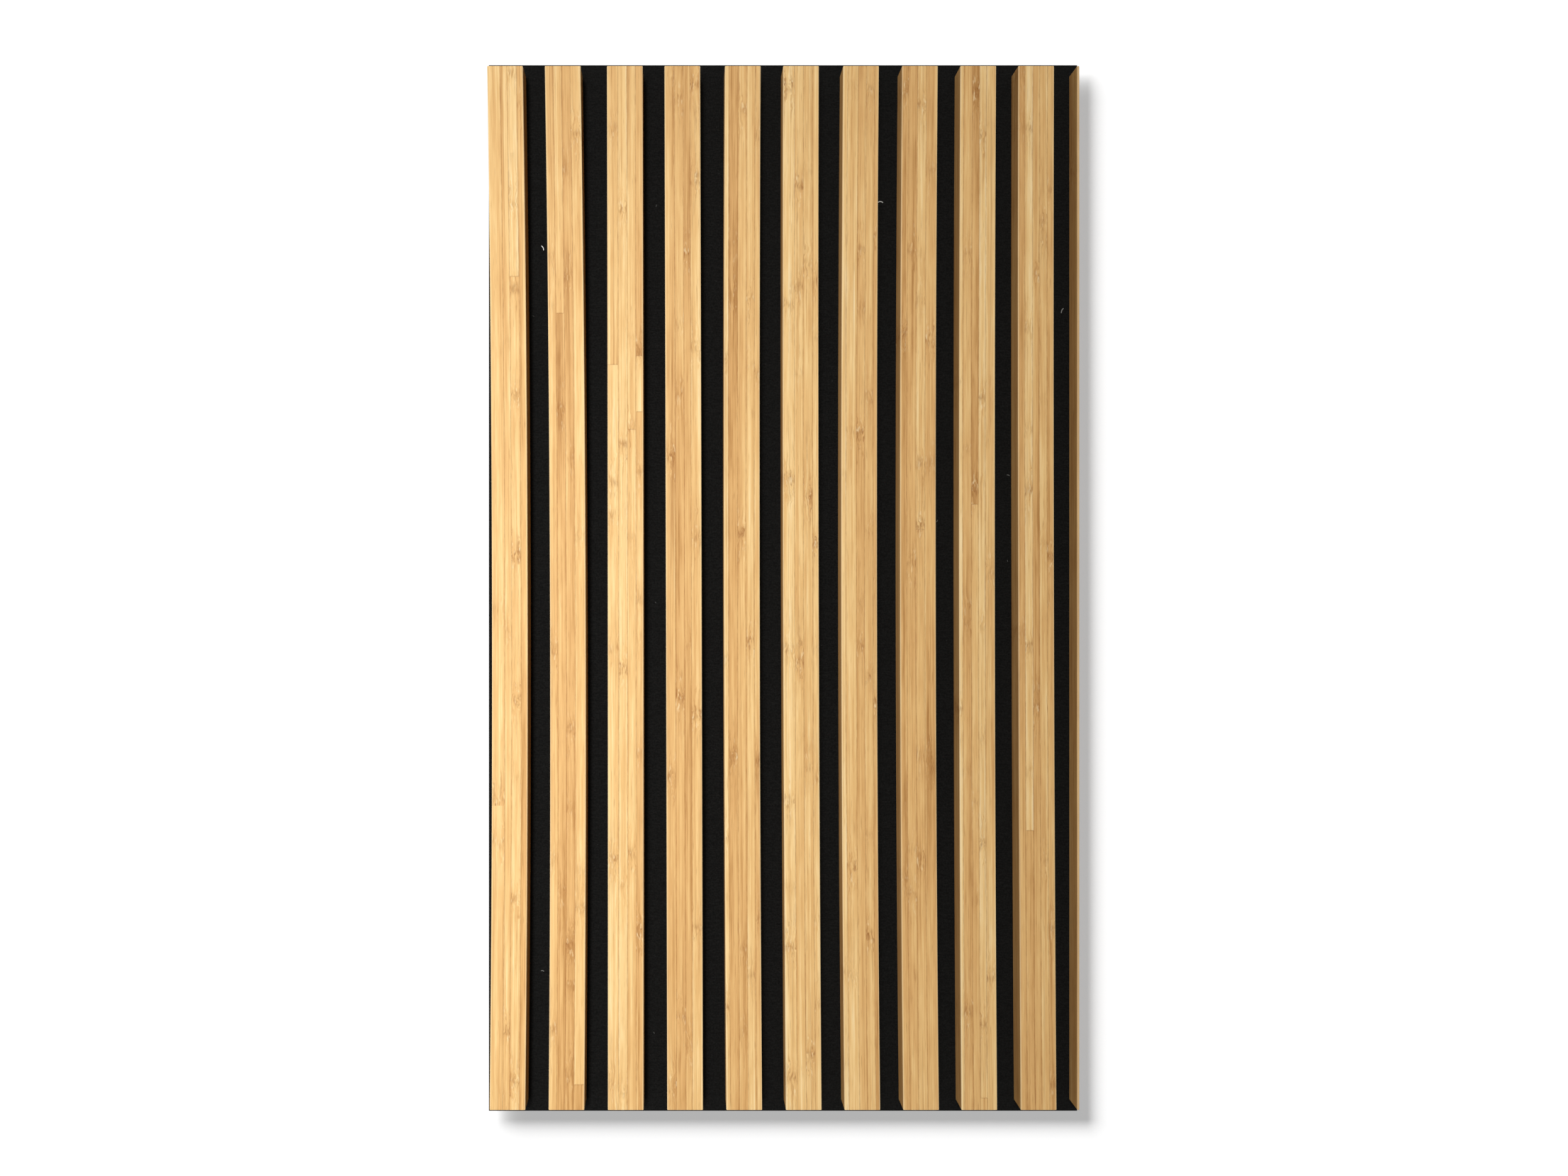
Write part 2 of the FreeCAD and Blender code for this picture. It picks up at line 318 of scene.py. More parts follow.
def both_marks(reach):
    """The marks of the stray joints and of the listed ones, together."""
    stray_mark = calculate(tree, "MULTIPLY", knuckle_mark(stray, reach), stray_weight)
    listed_mark = knuckle_mark(given["Knuckle"], reach)
    listed_mark = calculate(tree, "MULTIPLY", listed_mark, given["Force"])
    return calculate(tree, "MAXIMUM", stray_mark, listed_mark)


core = both_marks(CORE_REACH)
shade = both_marks(SHADE_REACH)
tails = both_marks(TAIL_REACH)

# Near a joint the fibres swing aside.
swing = calculate(tree, "MULTIPLY", calculate(tree, "MULTIPLY", shade, SWING), wobble)
aside = add_node(tree, "ShaderNodeCombineXYZ", {0: swing, 1: 0.0, 2: 0.0}).outputs[0]
bent = add_node(tree, "ShaderNodeVectorMath", {0: own_grain, 1: aside}, operation="ADD").outputs[0]
print("stray joints to the metre:", KNUCKLES_PER_METRE)

# %% The bamboo group: fibres and tone
KNUCKLE_SHADE = 0.22
mottle = fibre_lines(tree, bent, *FIBRES["mottle"])
bands = fibre_lines(tree, bent, *FIBRES["bands"])
coarse = fibre_lines(tree, bent, *FIBRES["coarse"])
fine = fibre_lines(tree, bent, *FIBRES["fine"])
flecks = fibre_lines(tree, bent, *FIBRES["flecks"])
broad_grain = calculate(tree, "ADD", bands, coarse)
grain_sum = calculate(tree, "ADD", broad_grain, calculate(tree, "ADD", fine, flecks))

# The side of a slat is the broad face of its outer strip. Its darker, redder tone is painted shade:
# the sides get less light than the front.
to_side_shade_tone = calculate(tree, "SUBTRACT", SIDE_SHADE_TONE, given["Tone"])
to_side_shade_tone = calculate(tree, "MULTIPLY", given["Side"], to_side_shade_tone)
own_tone = calculate(tree, "ADD", given["Tone"], to_side_shade_tone)
tone = calculate(tree, "ADD", own_tone, mottle)
tone = calculate(tree, "ADD", tone, calculate(tree, "MULTIPLY", grain_sum, given["Fibre Contrast"]))
tone = calculate(tree, "SUBTRACT", tone, calculate(tree, "MULTIPLY", shade, KNUCKLE_SHADE))
colour = tone_colour(tree, tone)
print("fibres and tone:", len(tree.nodes), "nodes so far")

# %% The bamboo group: sap tubes and seams
# Long brown lines and short dashes are the cane's sap tubes, cut along.
long_lines = remap(tree, fibre_lines(tree, bent, *FIBRES["long lines"]), 0.07, 0.22, high=0.32)
dashes = remap(tree, fibre_lines(tree, bent, *FIBRES["dashes"]), 0.11, 0.24, high=0.38)
tail_lines = remap(tree, fibre_lines(tree, bent, *FIBRES["tail lines"]), 0.02, 0.18, high=0.42)
tubes = calculate(tree, "MAXIMUM", calculate(tree, "MAXIMUM", long_lines, dashes),
                  calculate(tree, "MULTIPLY", tails, tail_lines))
colour = blend_colour(tree, tubes, colour, CANE_BROWN)

# The seams between strips are darker in some places than in others.
SEAM_EDGE, SEAM_HEART = 0.55 * MM, 0.12 * MM
SEAM_FAINT, SEAM_DARK = 0.16, 0.48
seam_line = remap(tree, given["Seam"], SEAM_EDGE, SEAM_HEART)
seam_strength = remap(tree, patchy, -0.2, 0.2, SEAM_FAINT, SEAM_DARK)
seam_line = calculate(tree, "MULTIPLY", seam_line, seam_strength)
colour = blend_colour(tree, seam_line, colour, CANE_BROWN)
print("sap tubes and seams:", len(tree.nodes), "nodes so far")

# %% The bamboo group: knuckles, rims and sides
# A knuckle is a core of brown streaks with pale flecks round it.
RIM_PALENESS = 0.45
streaks = remap(tree, fibre_lines(tree, bent, *FIBRES["streaks"]), -0.10, 0.16)
smudge = calculate(tree, "MULTIPLY", core, streaks)
smudge = calculate(tree, "MULTIPLY", smudge, given["Knuckle Strength"])
colour = blend_colour(tree, smudge, colour, CANE_BROWN)
halo = calculate(tree, "MULTIPLY", shade, remap(tree, patchy, 0.07, 0.19, high=0.70))
colour = blend_colour(tree, halo, colour, CANE_PALE)
# The rims along the front are paler: partly sanded wear, partly a painted highlight where light
# catches the eased arris.
rim_wear_and_highlight = calculate(tree, "MULTIPLY", given["Rim"], RIM_PALENESS)
colour = blend_colour(tree, rim_wear_and_highlight, colour, CANE_PALE)
# The tint darkens and reddens the sides further: painted shade.
colour = blend_colour(tree, given["Side"], colour, SIDE_SHADE_TINT, "MULTIPLY")
tree.links.new(colour, result["Colour"])
print("knuckles, rims and sides:", len(tree.nodes), "nodes so far")

# %% The bamboo group: gloss and relief
SATIN = 0.46
FIBRE_GLOSS = -0.15
KNUCKLE_DULLNESS = 0.10
COARSE_RELIEF = 0.6
roughness = calculate(tree, "ADD", SATIN, calculate(tree, "MULTIPLY", fine, FIBRE_GLOSS))
dull = calculate(tree, "MULTIPLY", core, KNUCKLE_DULLNESS)
tree.links.new(calculate(tree, "ADD", roughness, dull), result["Roughness"])
height = calculate(tree, "ADD", fine, calculate(tree, "MULTIPLY", coarse, COARSE_RELIEF))
tree.links.new(calculate(tree, "SUBTRACT", height, seam_line), result["Height"])
print("group:", tree.name, len(tree.nodes), "nodes")


# %% The bamboo material
def new_material(name):
    """An empty node material and its shader."""
    material = bpy.data.materials.new(name)
    material.use_nodes = True
    shader = next(n for n in material.node_tree.nodes if n.type == "BSDF_PRINCIPLED")
    return material, material.node_tree, shader


def attribute(tree, name, output="Fac"):
    """Reads one of the mesh's own attributes."""
    return add_node(tree, "ShaderNodeAttribute", attribute_name=name).outputs[output]


def bump(tree, shader, height, distance, strength):
    """Feeds a height into the shader's normal."""
    inputs = {"Height": height, "Distance": distance, "Strength": strength}
    tree.links.new(add_node(tree, "ShaderNodeBump", inputs).outputs[0], shader.inputs["Normal"])


bamboo, tree, shader = new_material("Pressed bamboo")
grain = attribute(tree, "grain", "Vector")
across, deep, along = add_node(tree, "ShaderNodeSeparateXYZ", {0: grain}).outputs
seam = calculate(tree, "MINIMUM",
                 calculate(tree, "SUBTRACT", across, attribute(tree, "strip_left")),
                 calculate(tree, "SUBTRACT", attribute(tree, "strip_right"), across))
butt = calculate(tree, "MINIMUM",
                 calculate(tree, "SUBTRACT", along, attribute(tree, "strip_low")),
                 calculate(tree, "SUBTRACT", attribute(tree, "strip_high"), along))
to_knuckle = calculate(tree, "SUBTRACT", along, attribute(tree, "knuckle_height"))
to_knuckle = calculate(tree, "ABSOLUTE", to_knuckle)
from_middle = calculate(tree, "ABSOLUTE", across)
from_side = calculate(tree, "SUBTRACT", attribute(tree, "slat_half"), from_middle)
from_front = calculate(tree, "ADD", deep, attribute(tree, "slat_depth"))
near_side = remap(tree, from_side, 1.1 * MM, 0.3 * MM)
near_front = remap(tree, from_front, 1.0 * MM, 0.3 * MM)
rim = calculate(tree, "MULTIPLY", near_side, near_front)
on_side = remap(tree, from_side, 0.2 * MM, 0.02 * MM)
behind_rim = remap(tree, from_front, 0.3 * MM, 1.0 * MM)
side = calculate(tree, "MULTIPLY", on_side, behind_rim)
strips = add_node(tree, "ShaderNodeGroup", {
    "Grain": grain, "Seed": attribute(tree, "strip_seed"), "Tone": attribute(tree, "strip_tone"),
    "Seam": calculate(tree, "MINIMUM", seam, butt), "Knuckle": to_knuckle,
    "Force": attribute(tree, "knuckle_force"), "Rim": rim, "Side": side,
    "Fibre Contrast": 1.05, "Knuckle Strength": 0.66,
}, node_tree=bamboo_grain).outputs
tree.links.new(strips["Colour"], shader.inputs["Base Color"])
tree.links.new(strips["Roughness"], shader.inputs["Roughness"])
shader.inputs["Specular IOR Level"].default_value = 0.05
bump(tree, shader, strips["Height"], distance=0.12 * MM, strength=0.35)
print("material:", bamboo.name)

# %% [markdown]
# ## The lay-up of each slat
#
# This is the maker's cutting list: for every slat, the strips from left to right, each
# with its width in millimetres and its tone. Then come the heights of its knuckles above
# the slat's middle, and last its butt joints, where a strip was too short for the slat:
# the height of the joint and the tone of the length below it.

# %% The cutting list
LAY_UP = {
    "slat_01": [
        (9.0, "straw", (-146, -174), ()),
        (4.8, "straw", (-27, -300), ()),
        (6.7, "pale", (350, 262, 203, 131, 22, -77, -211, -336), ((212, "cream"),)),
        (4.5, "gold", (), ()),
    ],
    "slat_02": [
        (5.6, "gold", (226, -43, -300), ()),
        (5.8, "straw", (122, -206), ((187, "amber"),)),
        (6.2, "honey", (213, -95, -150, -242, -270, -330), ()),
        (7.4, "straw", (309, 35, -218), ((-338, "honey"),)),
    ],
    "slat_03": [
        (7.6, "gold", (313, 72, 50, -40, -185, -340), ((152, "cream"),)),
        (6.2, "cream", (258, 98, -55, -203, -342), ()),
        (6.0, "straw", (110, -180), ((108, "straw"),)),
        (5.2, "honey", (162, 80, -8, -113, -234), ((158, "cream"), (120, "gold"))),
    ],
    "slat_04": [
        (6.7, "gold", (90, -128, -338), ()),
        (6.4, "honey", (334, 132, -73, -292), ()),
        (4.7, "honey", (228, -40, -311), ()),
        (7.2, "straw", (342, 278, 164, 35, -85, -232), ()),
    ],
    "slat_05": [
        (3.0, "cream", (158, -50, -170, -285), ()),
        (6.4, "amber", (196, -113), ()),
        (6.0, "gold", (325, 38, -245), ()),
        (5.8, "straw", (197, -37, -264), ()),
        (3.8, "straw", (308, 145, -118, -225), ()),
    ],
    "slat_06": [
        (8.1, "cream", (343, 193, 75, -42, -145, -244, -333), ()),
        (6.2, "straw", (274, 205, -50), ()),
        (6.4, "cream", (220, 62, -123, -318), ()),
        (4.3, "straw", (210, 30, -130, -282), ()),
    ],
    "slat_07": [
        (3.3, "pale", (-262,), ()),
        (7.3, "cream", (106, -190, -262), ()),
        (5.6, "gold", (231, 105, -39), ()),
        (5.8, "straw", (338, 131, -60, -235), ()),
        (3.0, "honey", (240, -78), ()),
    ],
    "slat_08": [
        (4.7, "honey", (337, 173, -195), ()),
        (6.3, "honey", (230, 18, -208), ()),
        (6.3, "cream", (330, 196, 85, 44, -186), ((40, "straw"),)),
        (7.7, "honey", (168, -122), ()),
    ],
    "slat_09": [
        (2.4, "pale", (-83,), ()),
        (6.1, "honey", (228, -25, -288), ()),
        (4.9, "amber", (338, 66, -147), ((57, "gold"),)),
        (4.9, "pale", (307, 129, -25, -174, -297), ((-347, "straw"),)),
        (6.7, "straw", (10, -265), ()),
    ],
    "slat_10": [
        (4.7, "honey", (350, -30), ()),
        (5.4, "pale", (312, 176, 66, -40, -125), ((-165, "honey"),)),
        (4.7, "honey", (213, -82), ()),
        (5.4, "straw", (250, 30, -185), ()),
        (4.8, "gold", (270, 22, -232, -338), ()),
    ],
    TRIMMED: [(1.5, "tan", (285,), ())],
}
print("strips in all:", sum(len(strips) for strips in LAY_UP.values()))

# %% Lay up the strips
# A length that ends at no joint ends far off, and a strip without knuckles has one that is
# farther off still and has no force.
FAR = 1.0
NO_KNUCKLE = (9.0, 0.0)
ROWS = 24
TONE_SPREAD = 0.05
FAINTEST_KNUCKLE = 0.4
HIGHEST_SEED = 40
STRIP_FACTS = (
    "strip_left", "strip_right", "strip_low", "strip_high", "strip_tone", "strip_seed",
    "knuckle_height", "knuckle_force", "slat_half", "slat_depth",
)
lay_up_dice = np.random.default_rng(7)


def strip_lengths(tone, joints):
    """The lengths of one strip, from the top down: upper end, lower end, tone and seed."""
    ends = [FAR] + [height * MM for height, below in joints] + [-FAR]
    tones = [TONES[tone]] + [TONES[below] for height, below in joints]
    tones += lay_up_dice.normal(0, TONE_SPREAD, len(tones))
    seeds = lay_up_dice.uniform(0, HIGHEST_SEED, len(tones))
    return list(zip(ends, ends[1:], tones, seeds))


def lay_up_mesh(name, size):
    """The slat's strips laid flat on its back plane: a face for each row of each strip."""
    strips = LAY_UP[name]
    half = size["Half Length"]
    widths = np.array([strip[0] for strip in strips])
    edges = (np.cumsum([0, *widths]) / widths.sum() - 0.5) * size["Width"]
    cuts = [height * MM for strip in strips for height, below in strip[3]]
    rows = np.unique(np.concatenate([np.linspace(-half, half, ROWS + 1), cuts]))
    faces = []
    facts = {fact: [] for fact in STRIP_FACTS}
    for column, (width, tone, knuckles, joints) in enumerate(strips):
        lengths = strip_lengths(tone, joints)
        marks = [(height * MM, lay_up_dice.uniform(FAINTEST_KNUCKLE, 1)) for height in knuckles]
        marks = marks or [NO_KNUCKLE]
        for row, (low, high) in enumerate(zip(rows, rows[1:])):
            first = row * len(edges) + column
            faces.append((first, first + 1, first + 1 + len(edges), first + len(edges)))
            middle = (low + high) / 2
            here = next(piece for piece in lengths if piece[0] > middle > piece[1])
            top, bottom, shade, seed = here
            height, force = min(marks, key=lambda mark: abs(mark[0] - middle))
            left = edges[column] if column else -FAR
            right = edges[column + 1] if column + 1 < len(strips) else FAR
            values = (
                left, right, bottom, top, shade, seed, height, force,
                size["Width"] / 2, size["Depth"],
            )
            for fact, value in zip(STRIP_FACTS, values):
                facts[fact].append(value)
    mesh = bpy.data.meshes.new(name + "_lay_up")
    mesh.from_pydata([(x, 0, z) for z in rows for x in edges], [], faces)
    for fact, values in facts.items():
        mesh.attributes.new(fact, "FLOAT", "FACE").data.foreach_set("value", values)
    return mesh


print("facts on each strip:", ", ".join(STRIP_FACTS))

# %% [markdown]
# ## Pressing the slats
#
# A slat could be a box with a bevel, but its strips have to follow its bow and its sides
# have to belong to its outer strips. So the flat lay-up goes through Geometry Nodes: the
# strips are raised to the slat's depth, closed at the back, stamped with the coordinates
# of their grain while they are still straight, and only then bowed through head, waist
# and foot. The same tree makes every slat, each with its own values.

# %% The slat tree
MERGE_DISTANCE = 0.001 * MM
slat_tree, given, result = new_group(
    "Bowed slat", "GeometryNodeTree",
    {
        "Lay-up": "geometry", "Depth": "value", "Half Length": "value", "Back": "value",
        "Head": "value", "Waist": "value", "Foot": "value", "Material": "material",
    },
    {"Slat": "geometry"},
)
tree = slat_tree
raised = add_node(tree, "GeometryNodeExtrudeMesh", {
    "Mesh": given["Lay-up"], "Offset Scale": given["Depth"], "Individual": False,
})
back = add_node(tree, "GeometryNodeFlipFaces", {"Mesh": given["Lay-up"]})
both = add_node(tree, "GeometryNodeJoinGeometry", {0: raised.outputs["Mesh"]})
tree.links.new(back.outputs[0], both.inputs[0])
closed = add_node(tree, "GeometryNodeMergeByDistance", {
    "Geometry": both.outputs[0], "Distance": MERGE_DISTANCE,
})
place = tree.nodes.new("GeometryNodeInputPosition").outputs[0]
stamped = add_node(
    tree, "GeometryNodeStoreNamedAttribute",
    {"Geometry": closed.outputs[0], "Name": "grain", "Value": place},
    data_type="FLOAT_VECTOR", domain="POINT",
)
height = add_node(tree, "ShaderNodeSeparateXYZ", {0: place}).outputs[2]
station = calculate(tree, "DIVIDE", height, given["Half Length"])
lean = calculate(tree, "MULTIPLY", calculate(tree, "SUBTRACT", given["Head"], given["Foot"]), 0.5)
middle = calculate(tree, "MULTIPLY", calculate(tree, "ADD", given["Head"], given["Foot"]), 0.5)
bow = calculate(tree, "SUBTRACT", middle, given["Waist"])
curved = calculate(tree, "MULTIPLY", calculate(tree, "MULTIPLY", station, station), bow)
shift = calculate(tree, "ADD", given["Waist"], calculate(tree, "MULTIPLY", station, lean))
shift = calculate(tree, "ADD", shift, curved)
offset = add_node(tree, "ShaderNodeCombineXYZ", {0: shift, 1: given["Back"], 2: 0.0})
bowed = add_node(tree, "GeometryNodeSetPosition", {
    "Geometry": stamped.outputs[0], "Offset": offset.outputs[0],
})
real = add_node(tree, "GeometryNodeRealizeInstances", {"Geometry": bowed.outputs[0]})
dressed = add_node(tree, "GeometryNodeSetMaterial", {
    "Geometry": real.outputs[0], "Material": given["Material"],
})
tree.links.new(dressed.outputs[0], result["Slat"])
print("tree:", tree.name, len(tree.nodes), "nodes")


# %% Make the slats
ARRIS = 0.6 * MM


def set_inputs(modifier, values):
    """Sets a Geometry Nodes modifier's inputs, found by name and set by identifier."""
    for item in modifier.node_group.interface.items_tree:
        if item.in_out == "INPUT" and item.name in values:
            modifier[item.identifier] = values[item.name]


def to_plain_mesh(piece):
    """Replaces a piece's modifiers by the mesh that they make."""
    depsgraph = bpy.context.evaluated_depsgraph_get()
    mesh = bpy.data.meshes.new_from_object(
        piece.evaluated_get(depsgraph), preserve_all_data_layers=True, depsgraph=depsgraph
    )
    piece.modifiers.clear()
    piece.data = mesh
    mesh.name = piece.name
    return mesh


def make_slat(name, size):
    """One slat as a plain mesh, in the place of its solid."""
    slat = bpy.data.objects.new(name + "_bamboo", lay_up_mesh(name, size))
    bpy.context.collection.objects.link(slat)
    press = slat.modifiers.new("Press", "NODES")
    press.node_group = slat_tree
    values = {key: float(value) for key, value in size.items() if key != "Width"}
    set_inputs(press, {**values, "Material": bamboo})
    ease = slat.modifiers.new("Eased arrises", "BEVEL")
    ease.width = ARRIS
    ease.segments = 3
    ease.limit_method = "ANGLE"
    mesh = to_plain_mesh(slat)
    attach(slat, "root")
    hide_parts(name)
    return len(mesh.polygons)


for name, size in slat_sizes.items():
    print(name, make_slat(name, size), "faces")

# %% [markdown]
# ## The felt
#
# The board behind the slats is needled felt: short polyester fibres, tangled until they
# hold together. It is nearly black, it has no gloss, and light only catches single
# fibres. The solid already has its shape and the slots of the staples, so it keeps its
# own mesh and takes a finish from the fibre group, with the fibres running every way.

# %% The felt material
FELT_DEEP = (0.0036, 0.0035, 0.0032, 1.0)
FELT_LIT = (0.0104, 0.0102, 0.0094, 1.0)
FELT_TANGLE = (900.0, 900.0, 1.4)
FELT_THREADS = (260.0, 2400.0, 1.0)
felt, tree, shader = new_material("Black needled felt")
place = tree.nodes.new("ShaderNodeTexCoord").outputs["Object"]
tangle = fibre_lines(tree, place, *FELT_TANGLE)
threads = fibre_lines(tree, place, *FELT_THREADS)
fuzz = calculate(tree, "ADD", tangle, threads)
colour = blend_colour(tree, remap(tree, fuzz, -0.35, 0.45), FELT_DEEP, FELT_LIT)
tree.links.new(colour, shader.inputs["Base Color"])
shader.inputs["Roughness"].default_value = 0.95
shader.inputs["Specular IOR Level"].default_value = 0.06
bump(tree, shader, fuzz, distance=0.6 * MM, strength=0.6)

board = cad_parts["felt_board"]
board.data.materials.clear()
board.data.materials.append(felt)
print("felt:", len(board.data.polygons), "faces")

# %% [markdown]
# ## Lint on the felt
#
# Black felt shows every bit of lint: a few pale fibres lie in the gaps between the slats.
# They could be painted into the felt's finish, but real lint lies on top and turns up in
# every view. So Geometry Nodes lay one bent fibre at each spot, turned and sized by the
# spot's own values: first the bits that catch the eye, then a dust of tiny ones by chance.

# %% Where the lint lies
# Each bit: its place across and up and its length in millimetres, its turn in degrees and
# how pale it is.
LINT = [
    (-167.2, 236.3, 3.3, 65, 0.80), (67.7, 268.0, 3.4, 4, 0.62), (194.2, 192.7, 3.4, -65, 0.26),
    (156.5, 78.3, 1.8, 15, 0.24), (156.0, 18.8, 1.3, 80, 0.12), (107.0, 46.6, 1.6, 120, 0.18),
    (-167.2, -266.3, 2.0, 10, 0.30), (-89.8, -309.3, 1.4, 60, 0.12), (-173.5, 188.9, 1.2, 30, 0.10),
    (-88.2, 265.8, 1.3, 100, 0.16), (-88.7, -10.1, 1.2, 50, 0.12),
]
# The dust lies this far to either side of a gap's middle and of the panel's waist.
DUST_BITS = 70
DUST_SPREAD, DUST_HEIGHT = 5.5, 350
DUST_LENGTHS, DUST_TONES = (0.4, 1.0), (0.02, 0.07)
HALF_PITCH = 20 * MM
felt_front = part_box("felt_board")[0][1]
lint_dice = np.random.default_rng(11)
gap_middles = np.array([slat_sizes[name]["Waist"] for name in SLATS]) + HALF_PITCH
bits = [(x * MM, z * MM, length * MM, math.radians(turn), tone) for x, z, length, turn, tone in LINT]
for bit in range(DUST_BITS):
    x = lint_dice.choice(gap_middles) + lint_dice.uniform(-DUST_SPREAD, DUST_SPREAD) * MM
    z = lint_dice.uniform(-DUST_HEIGHT, DUST_HEIGHT) * MM
    length = lint_dice.uniform(*DUST_LENGTHS) * MM
    turn = lint_dice.uniform(0, math.pi)
    tone = lint_dice.uniform(*DUST_TONES)
    bits.append((x, z, length, turn, tone))
spots = bpy.data.meshes.new("lint_spots")
spots.from_pydata([(x, felt_front, z) for x, z, length, turn, tone in bits], [], [])
for name, column in (("fibre_length", 2), ("fibre_turn", 3), ("fibre_tone", 4)):
    values = [bit[column] for bit in bits]
    spots.attributes.new(name, "FLOAT", "POINT").data.foreach_set("value", values)
print("lint:", len(bits), "bits")

# %% The lint tree
lint_tree, given, result = new_group(
    "Lint", "GeometryNodeTree",
    {"Spots": "geometry", "Slenderness": "value", "Material": "material"}, {"Fibres": "geometry"},
)
tree = lint_tree


def spot_value(name):
    """A value that the spots carry."""
    kind = "GeometryNodeInputNamedAttribute"
    return add_node(tree, kind, {"Name": name}, data_type="FLOAT").outputs[0]


bend = add_node(tree, "GeometryNodeCurveQuadraticBezier", {
    "Resolution": 6, "Start": (-0.5, 0, 0), "Middle": (0.1, -0.12, 0.3), "End": (0.5, 0, 0),
})
section = add_node(tree, "GeometryNodeCurvePrimitiveCircle", {
    "Resolution": 5, "Radius": given["Slenderness"],
})
fibre = add_node(tree, "GeometryNodeCurveToMesh", {
    "Curve": bend.outputs[0], "Profile Curve": section.outputs[0], "Fill Caps": True,
})
turn = add_node(tree, "ShaderNodeCombineXYZ", {0: 0.0, 1: spot_value("fibre_turn"), 2: 0.0})
laid = add_node(tree, "GeometryNodeInstanceOnPoints", {
    "Points": given["Spots"], "Instance": fibre.outputs[0],
    "Rotation": turn.outputs[0], "Scale": spot_value("fibre_length"),
})
real = add_node(tree, "GeometryNodeRealizeInstances", {"Geometry": laid.outputs[0]})
dressed = add_node(tree, "GeometryNodeSetMaterial", {
    "Geometry": real.outputs[0], "Material": given["Material"],
})
tree.links.new(dressed.outputs[0], result["Fibres"])
print("tree:", tree.name, len(tree.nodes), "nodes")

# %% Lay the lint
LINT_WARMTH = 0.94
lint_finish, tree, shader = new_material("Lint")
tone = attribute(tree, "fibre_tone")
less_blue = calculate(tree, "MULTIPLY", tone, LINT_WARMTH)
tint = add_node(tree, "ShaderNodeCombineColor", {0: tone, 1: tone, 2: less_blue})
tree.links.new(tint.outputs[0], shader.inputs["Base Color"])
shader.inputs["Roughness"].default_value = 0.9
shader.inputs["Specular IOR Level"].default_value = 0.1

lint = bpy.data.objects.new("felt_lint", spots)
bpy.context.collection.objects.link(lint)
scatter = lint.modifiers.new("Scatter", "NODES")
scatter.node_group = lint_tree
set_inputs(scatter, {"Slenderness": 0.09, "Material": lint_finish})
lint_mesh = to_plain_mesh(lint)
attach(lint, "root")
print("lint:", len(lint_mesh.polygons), "faces")

# %% [markdown]
# ## The staples
#
# The staples hold the slats from behind and are sunk a little into the felt, so only the
# back of the panel shows them. Galvanised wire is pale grey, dull and slightly patchy. The
# staples could be bent anew from a path, but the solid already has their shape, so they
# keep it and only take a finish.

# %% The staple material
ZINC_DULL = (0.42, 0.42, 0.42, 1.0)
ZINC_BRIGHT = (0.62, 0.62, 0.61, 1.0)
ZINC_PATCHES = (800.0, 800.0, 1.0)
wire, tree, shader = new_material("Galvanised wire")
place = tree.nodes.new("ShaderNodeTexCoord").outputs["Object"]
patches = fibre_lines(tree, place, *ZINC_PATCHES)
colour = blend_colour(tree, remap(tree, patches, -0.25, 0.25), ZINC_DULL, ZINC_BRIGHT)
tree.links.new(colour, shader.inputs["Base Color"])
tree.links.new(remap(tree, patches, -0.25, 0.25, 0.32, 0.48), shader.inputs["Roughness"])
shader.inputs["Metallic"].default_value = 1.0

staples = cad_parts["back_staples"]
staples.data.materials.clear()
staples.data.materials.append(wire)
print("staples:", len(staples.data.polygons), "faces")

# %% [markdown]
# ## The wall, the light and the camera
#
# The panel is fixed to a white wall, and its shadow falls down and to the right. The wall
# is seen by the camera alone, and only from its front, so that it neither hides the panel
# from behind nor keeps light from its back. A soft sun from the upper left is the main
# light, and a narrow lamp, a little cooler, brightens the left of the panel. A sun behind
# lights the back. The sky could fill the shadows, but it only serves here as a white
# ground, so two suns almost as wide as half the sky do that, one from the left and one
# from behind. The camera stands close: that is why the sides of the right-hand slats show.

# %% The wall and the floor
WALL_GAP = 0.5 * MM
WALL_TOP = 2.0
FLOOR, FLOOR_FRONT = -0.62, -3.2
HALF_SPAN = 3.0
COVE, COVE_STEPS = 0.14, 40
profile = [(FLOOR_FRONT, FLOOR)]
for turn in np.linspace(0, math.pi / 2, COVE_STEPS + 1):
    y = WALL_GAP - COVE + COVE * math.sin(turn)
    z = FLOOR + COVE - COVE * math.cos(turn)
    profile.append((y, z))
profile.append((WALL_GAP, WALL_TOP))
sweep = bpy.data.meshes.new("wall_and_floor")
corners = [(x, y, z) for y, z in profile for x in (-HALF_SPAN, HALF_SPAN)]
sweep.from_pydata(corners, [], [
    (2 * step, 2 * step + 1, 2 * step + 3, 2 * step + 2) for step in range(len(profile) - 1)
])
wall = bpy.data.objects.new("wall_and_floor", sweep)
bpy.context.collection.objects.link(wall)
wall.visible_diffuse = False
wall.visible_glossy = False
wall.visible_transmission = False
wall.visible_shadow = False
print("wall and floor:", len(sweep.polygons), "faces")

# %% The wall's paint
paint = bpy.data.materials.new("White wall")
paint.use_nodes = True
tree = paint.node_tree
tree.nodes.clear()
matt = add_node(tree, "ShaderNodeBsdfDiffuse", {"Color": (0.95, 0.95, 0.95, 1.0)})
glow = add_node(tree, "ShaderNodeEmission", {"Color": (1.0, 1.0, 1.0, 1.0), "Strength": 0.45})
lit = add_node(tree, "ShaderNodeAddShader", {0: matt.outputs[0], 1: glow.outputs[0]})
clear = tree.nodes.new("ShaderNodeBsdfTransparent")
behind = tree.nodes.new("ShaderNodeNewGeometry").outputs["Backfacing"]
seen = add_node(tree, "ShaderNodeMixShader", {0: behind, 1: lit.outputs[0], 2: clear.outputs[0]})
add_node(tree, "ShaderNodeOutputMaterial", {"Surface": seen.outputs[0]})
sweep.materials.append(paint)
print("wall normal:", [round(part, 2) for part in sweep.polygons[-1].normal])

